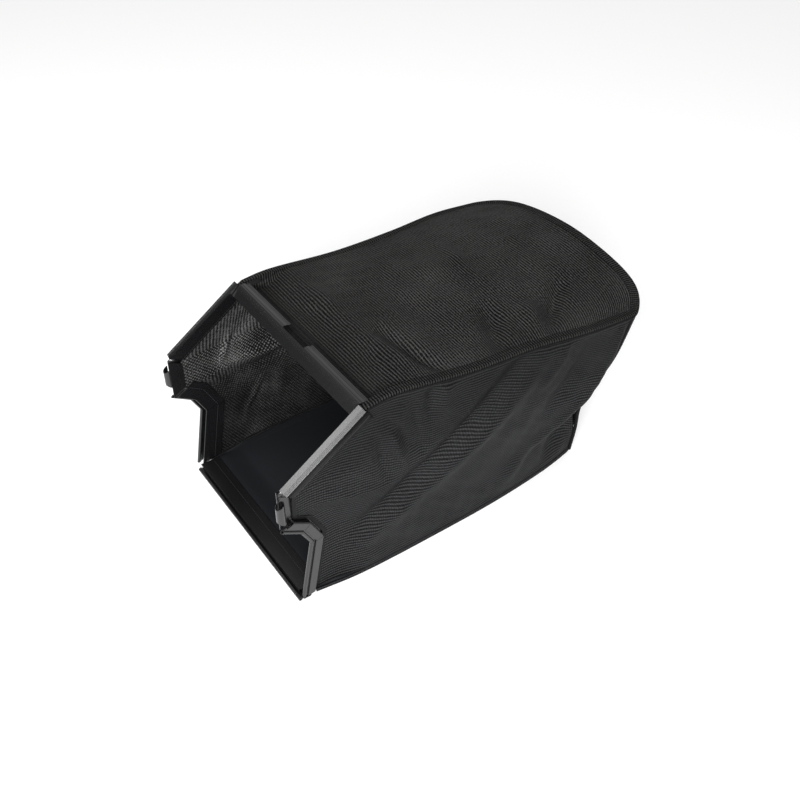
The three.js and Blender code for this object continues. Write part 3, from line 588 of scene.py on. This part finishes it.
topLook = {"angle": 0.0, "ribPitch": 0.0048, "threadPitch": 0.0033, "threadShare": 0.16, "dots": False,
           "sway": 0.0015, "thinness": 2.6, "speckle": 1.5, "speckleScale": 330.0,
           # painted shade: the top's light threads darker towards its front edge at the top clip
           "cloud": 0.6, "cloudScale": 8.0, "paintedShadeFades": [(0, 0.16, 0.0, 0.66)],
           "dark": (0.0010, 0.0010, 0.0010), "light": (0.062, 0.0614, 0.0598),
           "roughness": 0.6, "specular": 0.06, "bump": 0.9}
sideLook = {"angle": 90.0, "ribPitch": 0.0054, "threadPitch": 0.0036, "threadShare": 0.26, "dots": False,
            "sway": 0.002, "thinness": 2.2, "speckle": 0.8, "speckleScale": 330.0,
            # painted shade: the side's light threads darker towards its top
            "cloud": 0.3, "cloudScale": 9.0, "paintedShadeFades": [(1, 0.17, 0.34, 0.66)],
            "dark": (0.0016, 0.0016, 0.0018), "light": (0.040, 0.0406, 0.0424),
            "roughness": 0.55, "specular": 0.08, "bump": 0.7}
netLook = {"angle": 42.0, "ribPitch": 0.0046, "threadPitch": 0.0046, "dots": True,
           "sway": 0.002, "thinness": 2.4, "speckle": 1.5, "speckleScale": 300.0,
           "cloud": 1.1, "cloudScale": 16.0,
           # painted shade: the net darker low down, towards the rear and at its very front
           "paintedShadeFades": [(1, 0.205, 0.165, 0.36), (0, 0.10, 0.30, 0.6), (0, 0.08, 0.01, 0.6)],
           "dark": (0.003, 0.003, 0.003), "light": (0.215, 0.215, 0.213),
           "roughness": 0.7, "specular": 0.08, "bump": 0.5}
bindingLook = {"angle": 0.0, "ribPitch": 0.0046, "threadPitch": 0.0036, "threadShare": 0.2, "dots": False,
               "sway": 0.0, "thinness": 1.8, "speckle": 0.6, "speckleScale": 270.0,
               "cloud": 0.2, "cloudScale": 20.0, "paintedShadeFades": [],
               "dark": (0.001, 0.001, 0.001), "light": (0.044, 0.0436, 0.0425),
               "roughness": 0.9, "specular": 0.02, "bump": 0.9}
# the hem knit's dark tone is partly its own and partly painted shade for the hollow behind the top clip
hemLook = {"angle": 0.0, "ribPitch": 0.0036, "threadPitch": 0.0036, "threadShare": 0.5, "dots": False,
           "sway": 0.0, "thinness": 1.8, "speckle": 0.8, "speckleScale": 270.0,
           "cloud": 0.2, "cloudScale": 20.0, "paintedShadeFades": [],
           "dark": (0.001, 0.001, 0.001), "light": (0.026, 0.0258, 0.0250),
           "roughness": 0.75, "specular": 0.06, "bump": 0.8}
topMesh, sideMesh, innerNet, bindingRib, hemKnit = (
    meshCloth(name, look) for name, look in (
        ("topMesh", topLook), ("sideMesh", sideLook), ("innerNet", netLook),
        ("bindingRib", bindingLook), ("hemKnit", hemLook)))
coatedLook = {"colour": (0.0125, 0.0134, 0.0156), "roughness": 0.5, "specular": 0.25,
              "grain": {"scale": 60.0, "bump": 0.25, "height": 0.0006}}
tapeLook = {"colour": (0.0075, 0.0075, 0.0080), "roughness": 0.7, "specular": 0.1,
            "grain": {"scale": 700.0, "bump": 0.4, "height": 0.0004}}
plasticLook = {"roughness": 0.27, "specular": 0.65,
               "scuffs": {"scale": 35.0, "detail": 4.0, "dark": (0.0040, 0.0040, 0.0044),
                          "light": (0.0065, 0.0066, 0.0073)}}
# near-black colour: painted shade on the slope clips' outer walls, and the colour of the side hem tapes
shadeAndTapeLook = {"colour": (0.0035, 0.0035, 0.0038), "roughness": 0.45, "specular": 0.12}
threadLook = {"colour": (0.021, 0.021, 0.022), "roughness": 0.6, "specular": 0.3}
coatedCloth, bindingTape, clipPlastic, shadeAndTapeDark, stitchThread = (
    plainFinish(name, look) for name, look in (
        ("coatedCloth", coatedLook), ("bindingTape", tapeLook), ("clipPlastic", plasticLook),
        ("shadeAndTapeDark", shadeAndTapeLook), ("stitchThread", threadLook)))
print("materials ready")


def gridObject(name, points, maps, materials, closed=False, thickness=0.0):
    # points and maps are rows by columns; the map is in metres of cloth
    rows, columns = points.shape[:2]
    last = columns if closed else columns - 1
    faces = [(i * columns + j, (i + 1) * columns + j, (i + 1) * columns + (j + 1) % columns,
              i * columns + (j + 1) % columns) for i in range(rows - 1) for j in range(last)]
    if closed:
        faces += [tuple(range(columns)), tuple((rows - 1) * columns + j for j in reversed(range(columns)))]
    mesh = bpy.data.meshes.new(name)
    mesh.from_pydata(((points.reshape(-1, 3) + bagShift) / 1000).tolist(), [], faces)
    mapLayer = mesh.uv_layers.new(name="cloth")
    picks = np.zeros(len(mesh.loops), int)
    mesh.loops.foreach_get("vertex_index", picks)
    mapLayer.data.foreach_set("uv", maps.reshape(-1, 2)[picks].ravel())
    for material in materials:
        mesh.materials.append(material)
    mesh.shade_smooth()
    piece = bpy.data.objects.new(name, mesh)
    bpy.context.scene.collection.objects.link(piece)
    if thickness:
        layer = piece.modifiers.new("layer", "SOLIDIFY")
        layer.thickness = thickness / 1000
        layer.offset = 0
        layer.material_offset = len(materials) - 1
        layer.material_offset_rim = 0
    return piece


def runs(points, axis):
    # lengths along one way of a grid, in metres
    steps = np.linalg.norm(np.diff(points, axis=axis), axis=2)
    pad = [(1, 0), (0, 0)] if axis == 0 else [(0, 0), (1, 0)]
    return np.pad(np.cumsum(steps, axis=axis), pad) / 1000


# The panels' cloth in millimetres, and the steps of their grids: closer along the first share of the bag
cloth = {"thickness": 1.1, "closeShare": 0.1, "closeSteps": 24, "farSteps": 170, "acrossSteps": 131}


def clothPanel(name, surface, uStations, vStations, materials, mirror=False):
    uGrid, vGrid = np.meshgrid(uStations, vStations, indexing="ij")
    points = surface(uGrid.ravel(), vGrid.ravel()).reshape(*uGrid.shape, 3)
    along, across = runs(points, 0).mean(axis=1), runs(points, 1).mean(axis=0)
    maps = np.stack(np.meshgrid(along, across, indexing="ij"), axis=2)
    if mirror:
        points = points * np.array([-1, 1, 1])
        points, maps = points[:, ::-1], maps[:, ::-1]
    origin = points[:-1, :-1]
    cells = np.linalg.norm(np.cross(points[1:, :-1] - origin, points[:-1, 1:] - origin), axis=2)
    area = cells.sum() / 1e6
    piece = gridObject(name, points, maps, materials, thickness=cloth["thickness"])
    return piece, (float(runs(points, 1)[:, -1].max()), float(runs(points, 0)[-1].max())), float(area)


def rides(piece, slotName, *replaced):
    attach(piece, "root")
    if replaced:
        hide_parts(*replaced)


spacedU = np.concatenate([np.linspace(0, cloth["closeShare"], cloth["closeSteps"])[:-1],
                          np.linspace(cloth["closeShare"], 1, cloth["farSteps"])])
spotsV = np.linspace(0, 1, cloth["acrossSteps"])
panelRows = (
    ("rightSidePanelCloth", sideSurface(nearSideFolds), spacedU, spotsV, [sideMesh, innerNet], False,
     "side_mesh", "right_side_panel"),
    ("leftSidePanelCloth", sideSurface(farSideFolds), spacedU, spotsV, [sideMesh, innerNet], True,
     "side_mesh", "left_side_panel"),
    ("topPanelCloth", topSurface, spacedU, spotsV, [topMesh], False, "top_mesh", "top_panel"),
    ("backPanelCloth", backSurface, spotsV, spotsV[::2], [topMesh], False, "top_mesh", "back_panel"),
    ("bottomPanelCloth", bottomSurface, spacedU, spotsV, [coatedCloth], False,
     "coated_cloth", "bottom_panel"))
for name, surface, us, vs, materials, mirror, slotName, node in panelRows:
    piece, flat, area = clothPanel(name, surface, us, vs, materials, mirror)
    rides(piece, slotName, node)
    print(name, "flat", [round(v, 3) for v in flat], "area", round(area, 4))


# Bindings: a profile swept along the seams, inwards and upwards in millimetres
def rounded(path, passes):
    for _ in range(passes):
        path[1:-1] = path[1:-1] * 0.5 + (path[2:] + path[:-2]) * 0.25
    return path


def sweep(name, path, profile, inner, materials, narrow=None):
    narrow = np.ones(len(path)) if narrow is None else narrow
    tangents = np.gradient(path, axis=0)
    tangents /= np.linalg.norm(tangents, axis=1)[:, None]
    inward = inner(path)
    inward -= np.sum(inward * tangents, axis=1)[:, None] * tangents
    inward /= np.linalg.norm(inward, axis=1)[:, None]
    upward = np.cross(tangents, inward)
    outline = np.array(profile, float)
    aside = outline[None, :, :1]
    reachIn = np.where(aside > 0, aside * narrow[:, None, None], aside)
    points = path[:, None] + inward[:, None] * reachIn + upward[:, None] * outline[None, :, 1:]
    along = np.concatenate([[0], np.cumsum(np.linalg.norm(np.diff(path, axis=0), axis=1))]) / 1000
    around = np.concatenate([[0], np.cumsum(np.linalg.norm(np.diff(outline, axis=0), axis=1))]) / 1000
    maps = np.stack(np.meshgrid(along, around, indexing="ij"), axis=2)
    return gridObject(name, points, maps, materials, closed=True)


def ring(radius, count=14):
    turns = [k * math.tau / count for k in range(count)]
    return [(radius * math.cos(turn), radius * math.sin(turn)) for turn in turns]


seams = {"sideSteps": 260, "rearSteps": 220, "spacing": 3, "topPasses": 14, "bottomPasses": 10,
         "middle": (0, 330, 0), "rearRadius": 3.4, "rearEdgeSteps": 120}
fineT = np.linspace(0, 1, seams["sideSteps"])
wideW = np.linspace(1, -1, seams["rearSteps"])
mirrorX = np.array([-1, 1, 1])
bothSides = (("right", np.ones(3)), ("left", mirrorX))
rearTopPath = np.stack([wideW * body["topRearHalf"],
                        body["topReach"] + body["rearBow"] * domed(wideW, body["bowPower"]),
                        body["topRearRise"] + body["rearCrown"] * domed(wideW, body["crownPower"])], axis=1)
rearBottomPath = np.stack([wideW * body["bottomRearHalf"],
                           body["bottomReach"] + body["bottomBow"] * domed(wideW, body["bowPower"]),
                           np.full_like(wideW, low)], axis=1)


def seamLoop(seam, rear, passes):
    side = seam.at(fineT)
    path = np.concatenate([side[:-1], rear, (side[:-1] * mirrorX)[::-1]])
    steps = np.concatenate([[0], np.cumsum(np.linalg.norm(np.diff(path, axis=0), axis=1))])
    even = np.linspace(0, steps[-1], int(steps[-1] / seams["spacing"]))
    return rounded(np.stack([np.interp(even, steps, path[:, k]) for k in range(3)], axis=1), passes)


topLoop = seamLoop(topSeam, rearTopPath, seams["topPasses"])
bottomLoop = seamLoop(bottomSeam, rearBottomPath, seams["bottomPasses"])

# The band on the top seam: it narrows at the front and on the left, and leads in under the top clip's ends
bandProfile = [(-3.4, -2.6), (-4.4, -0.4), (-3.8, 1.8), (-2.0, 3.2), (0.6, 3.6), (2.4, 3.0), (3.4, 2.6),
               (5.6, 3.0), (9.4, 3.0), (12.2, 2.4), (13.0, 1.4), (12.0, 0.6), (5.0, 0.3), (0.8, -0.6),
               (-0.6, -2.6), (-2.0, -3.6)]
bandFront = {"from": 118.0, "to": 165.0, "share": 0.6, "leftShare": 0.6, "aside": 2.0, "lead": 11.0,
             "drop": 4.0, "points": 5}
cornerTab = {"points": 14, "inside": 176.0, "drop": 3.5, "thickness": 1.0}
# a thin dark cord under the band's lower edge: partly painted shade for the seam's shadow, partly the dark
# stitched line there
seamShadowCord = {"radius": 1.1, "points": 8, "out": 3.7, "down": 4.0}


def toMiddle(path):
    aim = (np.array(seams["middle"]) - path) * np.array([1, 1, 0])
    along = np.gradient(path, axis=0)
    square = np.cross(along, [0, 0, 1.0])
    square *= np.sign(np.sum(square * aim, axis=1))[:, None]
    return square / np.linalg.norm(square, axis=1)[:, None]


lead = topLoop[0] - np.array([bandFront["aside"], bandFront["lead"], bandFront["drop"]])
topLoop = np.concatenate([np.linspace(lead, topLoop[0], bandFront["points"])[:-1], topLoop,
                          np.linspace(topLoop[-1], lead * mirrorX, bandFront["points"])[1:]])
narrow = mix(bandFront["share"], 1.0, smooth((topLoop[:, 1] - bandFront["from"])
                                             / (bandFront["to"] - bandFront["from"])))
narrow *= mix(bandFront["leftShare"], 1.0, smooth(topLoop[:, 0] / body["topHalf"] + 1))
for label, flip in bothSides:
    edge = topLoop[:cornerTab["points"]]
    tuckedIn = edge * np.array([0, 1, 1]) + np.array([cornerTab["inside"], 0, -cornerTab["drop"]])
    tab = np.stack([edge, tuckedIn], axis=1)
    rides(gridObject(label + "CornerTab", tab * flip, tab[:, :, :2] / 1000, [bindingTape],
                     thickness=cornerTab["thickness"]), "binding_tape")
seamShadowLine = [(a - seamShadowCord["out"], b - seamShadowCord["down"]) for a, b in ring(seamShadowCord["radius"], seamShadowCord["points"])]
rides(sweep("topSeamShadowCord", topLoop, seamShadowLine, toMiddle, [bindingTape]), "binding_tape")
topBinding = sweep("topSeamBinding", topLoop, bandProfile, toMiddle, [bindingRib], narrow)
rides(topBinding, "binding_tape", "right_top_welt", "rear_top_welt", "left_top_welt")
bottomBinding = sweep("bottomSeamBinding", bottomLoop, ring(body["bottomWelt"]), toMiddle, [sideMesh])
rides(bottomBinding, "binding_tape", "right_bottom_welt", "rear_bottom_welt", "left_bottom_welt")
for label, flip in bothSides:
    rearPath = rearSeam.at(np.linspace(0, 1, seams["rearEdgeSteps"])) * flip
    binding = sweep(label + "RearBinding", rearPath, ring(seams["rearRadius"]),
                    lambda path: np.tile([1.0, 0, 0], (len(path), 1)), [bindingTape])
    rides(binding, "binding_tape", label + "_rear_welt")
print("bindings made")

# Knit hem behind the top clip, with a raised fold, a rolled rear edge and a small front ridge,
# with the depth, width and height of each
hem = {"base": mouth["wall"] + 2 * body["touchGap"] + body["thickness"], "rows": 57, "columns": 120,
       "ridges": [(33.0, 2.0, 2.4), (47.5, 2.4, 1.6), (23.5, 1.6, 0.8)], "thickness": 1.0}
hemHalf = topClothHalf * body["edgeRow"] - body["thickness"]
depths = np.linspace(mouth["tapeStart"], mouth["tapeStart"] + mouth["topTapeWidth"], hem["rows"])
acrossX = np.linspace(-hemHalf, hemHalf, hem["columns"])
swell = hem["base"] + mouth["tapeThickness"] / 2 + sum(
    height * hump(depths, depth, width) for depth, width, height in hem["ridges"])
hemPoints = np.zeros((len(depths), len(acrossX), 3))
hemPoints[:, :, 0] = acrossX
hemPoints[:, :, 1] = (topRidge[0] + topDepth[0] * depths + topOut[0] * swell)[:, None]
hemPoints[:, :, 2] = (topRidge[1] + topDepth[1] * depths + topOut[1] * swell)[:, None]
hemMaps = np.stack(np.meshgrid(depths / 1000, acrossX / 1000, indexing="ij"), axis=2)
topHem = gridObject("topHemKnit", hemPoints, hemMaps, [hemKnit], thickness=hem["thickness"])
rides(topHem, "binding_tape", "top_hem_tape")

# Narrow dark tapes along the side panels' front edges, plates at the low ends of the slope clips,
# and a thin near-black sheet on each slope clip's outer wall: painted shade where the wall is shaded
sideHem = {"from": 21.5, "reach": [6.5, 6.5, 6.5, 6.5, 6.0, 17.0], "lift": 0.6, "rows": 8, "steps": 61,
           "thickness": 1.0}
cornerJoint = {"behind": 7.0, "ahead": 8.0, "depths": (1.5, 23.5), "lift": 0.4, "thickness": 0.8}
slopeShadeSheet = {"out": 16.75, "trims": (0.03, 0.998), "depths": (4.4, 15.2), "thickness": 0.3}
before, corner, end = mouthLine[3:6]
slopeInside = mouth["innerHalf"] + mouth["flares"][4]


def upright(out, places):
    # a grid of points at one width, from its places in (y, z)
    places = np.array(places)
    return np.concatenate([np.full((*places.shape[:2], 1), out), places], axis=2)


for label, flip in bothSides:
    rows = []
    for share in np.linspace(0, 1, sideHem["rows"]):
        line = np.array([spot + mitre * (sideHem["from"] + width * share)
                         for spot, mitre, width in zip(mouthLine, mitres, sideHem["reach"])])
        out = frontX + body["thickness"] / 2 + sideHem["lift"] + lineAt(flareLine, line[:, 1])
        coarse = np.stack([out, line[:, 0], line[:, 1]], axis=1)
        stations, corners = np.linspace(0, len(coarse) - 1, sideHem["steps"]), np.arange(len(coarse))
        rows.append(np.stack([np.interp(stations, corners, coarse[:, k]) for k in range(3)], axis=1))
    finer = np.array(rows) * flip
    hemTape = gridObject(label + "HemTape", finer, finer[:, :, 1:] / 1000, [shadeAndTapeDark],
                         thickness=sideHem["thickness"])
    rides(hemTape, "binding_tape", label + "_hem_tape")
    ahead, behind = ((spot - corner) / np.linalg.norm(spot - corner) for spot in (end, before))
    joint = upright(slopeInside + mouth["wall"] + cornerJoint["lift"], [
        [corner + mitres[4] * depth + step
         for step in (behind * cornerJoint["behind"], behind * 0.0, ahead * cornerJoint["ahead"])]
        for depth in cornerJoint["depths"]])
    jointPiece = gridObject(label + "CornerJoint", joint * flip, joint[:, :, 1:] / 1000, [clipPlastic],
                            thickness=cornerJoint["thickness"])
    rides(jointPiece, "clip_plastic")
    # painted shade: a thin near-black sheet laid over the slope clip's outer wall
    shadeSheet = upright(slopeInside + slopeShadeSheet["out"], [
        [mix(corner + mitres[4] * depth, end + mitres[5] * depth, t) for t in slopeShadeSheet["trims"]]
        for depth in slopeShadeSheet["depths"]])
    shadeSheetPiece = gridObject(label + "SlopeShadeSheet", shadeSheet * flip, shadeSheet[:, :, 1:] / 1000, [shadeAndTapeDark],
                             thickness=slopeShadeSheet["thickness"])
    rides(shadeSheetPiece, "clip_plastic")
print("hems made")


# Stitches: short threads laid in rows; the thread's top is lifted, short of its ends and narrower
threadShape = {"lift": 0.7, "end": 0.2, "top": 0.6, "clear": 0.1}
flangeRow = {"depths": (26.0, 26.0, 26.0, 22.0, 22.0), "flares": (0.0, 0.0, 0.0, 6.0, 6.0),
             "bottomSpan": (-168, 172), "bottomDepth": 27,
             "thread": {"pitch": 4.6, "length": 2.6, "width": 0.7}}
hemRow = {"depths": (27.0, 42.0), "ends": 4, "thread": {"pitch": 4.2, "length": 2.6, "width": 0.7}}
floorRow = {"insets": (7.0, 13.0), "span": (0.1, 0.97), "points": 60, "height": 2.6,
            "thread": {"pitch": 5.0, "length": 2.8, "width": 0.8}}


def stitchRow(spots, line, normal, pitch, length, width):
    line = np.array(line, float)
    run = np.concatenate([[0], np.cumsum(np.linalg.norm(np.diff(line, axis=0), axis=1))])
    for start in np.arange(pitch / 2, run[-1] - length, pitch):
        ends = np.stack([np.interp([start, start + length], run, line[:, k]) for k in range(3)], axis=1)
        spots.append((ends[0], ends[1], np.array(normal, float), width))


def stitchObject(name, spots):
    vertices, faces = [], []
    for a, b, normal, width in spots:
        along = (b - a) / np.linalg.norm(b - a)
        across = np.cross(normal, along) * width / 2
        lift = normal * width * threadShape["lift"]
        topSide = across * threadShape["top"]
        topA, topB = mix(a, b, threadShape["end"]) + lift, mix(a, b, 1 - threadShape["end"]) + lift
        first = len(vertices)
        vertices += [a - across, a + across, b + across, b - across,
                     topA - topSide, topA + topSide, topB + topSide, topB - topSide]
        faces += [tuple(first + k for k in face) for face in (
            (3, 2, 1, 0), (4, 5, 6, 7), (0, 1, 5, 4), (1, 2, 6, 5), (2, 3, 7, 6), (3, 0, 4, 7))]
    mesh = bpy.data.meshes.new(name)
    mesh.from_pydata(((np.array(vertices) + bagShift) / 1000).tolist(), [], faces)
    mesh.materials.append(stitchThread)
    piece = bpy.data.objects.new(name, mesh)
    bpy.context.scene.collection.objects.link(piece)
    rides(piece, "binding_tape")
    return piece


flangeStitches, hemStitches, floorStitches = [], [], []
for side in (1, -1):
    for i, (depth, flare) in enumerate(zip(flangeRow["depths"], flangeRow["flares"])):
        inner = side * (mouth["innerHalf"] + flare - threadShape["clear"])
        ends = [(inner, *spot) for spot in depthLine(depth)[i:i + 2]]
        stitchRow(flangeStitches, ends, (-side, 0, 0), **flangeRow["thread"])
bottomRow = (bottomLine[0] + flangeRow["bottomDepth"], bottomLine[1] + threadShape["clear"])
ends = [(x, *bottomRow) for x in flangeRow["bottomSpan"]]
stitchRow(flangeStitches, ends, (0, 0, 1), **flangeRow["thread"])
for depth in hemRow["depths"]:
    level = hem["base"] + mouth["tapeThickness"] + threadShape["clear"]
    place = topRidge + topDepth * depth + topOut * level
    ends = [(side * (hemHalf - hemRow["ends"]), *place) for side in (-1, 1)]
    stitchRow(hemStitches, ends, (0, topOut[0], topOut[1]), **hemRow["thread"])
for side in (1, -1):
    for inset in floorRow["insets"]:
        seam = bottomSeam.at(np.linspace(*floorRow["span"], floorRow["points"]))
        row = np.stack([side * (seam[:, 0] - body["bottomWelt"] - inset), seam[:, 1],
                        np.full(floorRow["points"], floorRow["height"])], axis=1)
        stitchRow(floorStitches, row, (0, 0, 1), **floorRow["thread"])
stitchObject("flangeStitches", flangeStitches)
topHemStitches = stitchObject("topHemStitches", hemStitches)
bottomStitches = stitchObject("bottomPanelStitches", floorStitches)
print("stitches made")

# The extruded clips and the bottom hem tape keep their solids, with their own finish and softened clip edges
softEdges = {"width": 0.0005, "segments": 2, "angle": 28}
for name, node in nodes.items():
    if name.endswith("_clip"):
        node.data.materials.clear()
        node.data.materials.append(clipPlastic)
        soft = node.modifiers.new("softEdges", "BEVEL")
        soft.width = softEdges["width"]
        soft.segments = softEdges["segments"]
        soft.limit_method = "ANGLE"
        soft.angle_limit = math.radians(softEdges["angle"])
    elif name.endswith("_tape"):
        node.data.materials.clear()
        node.data.materials.append(coatedCloth if name.startswith("bottom") else bindingTape)
print("clips finished")
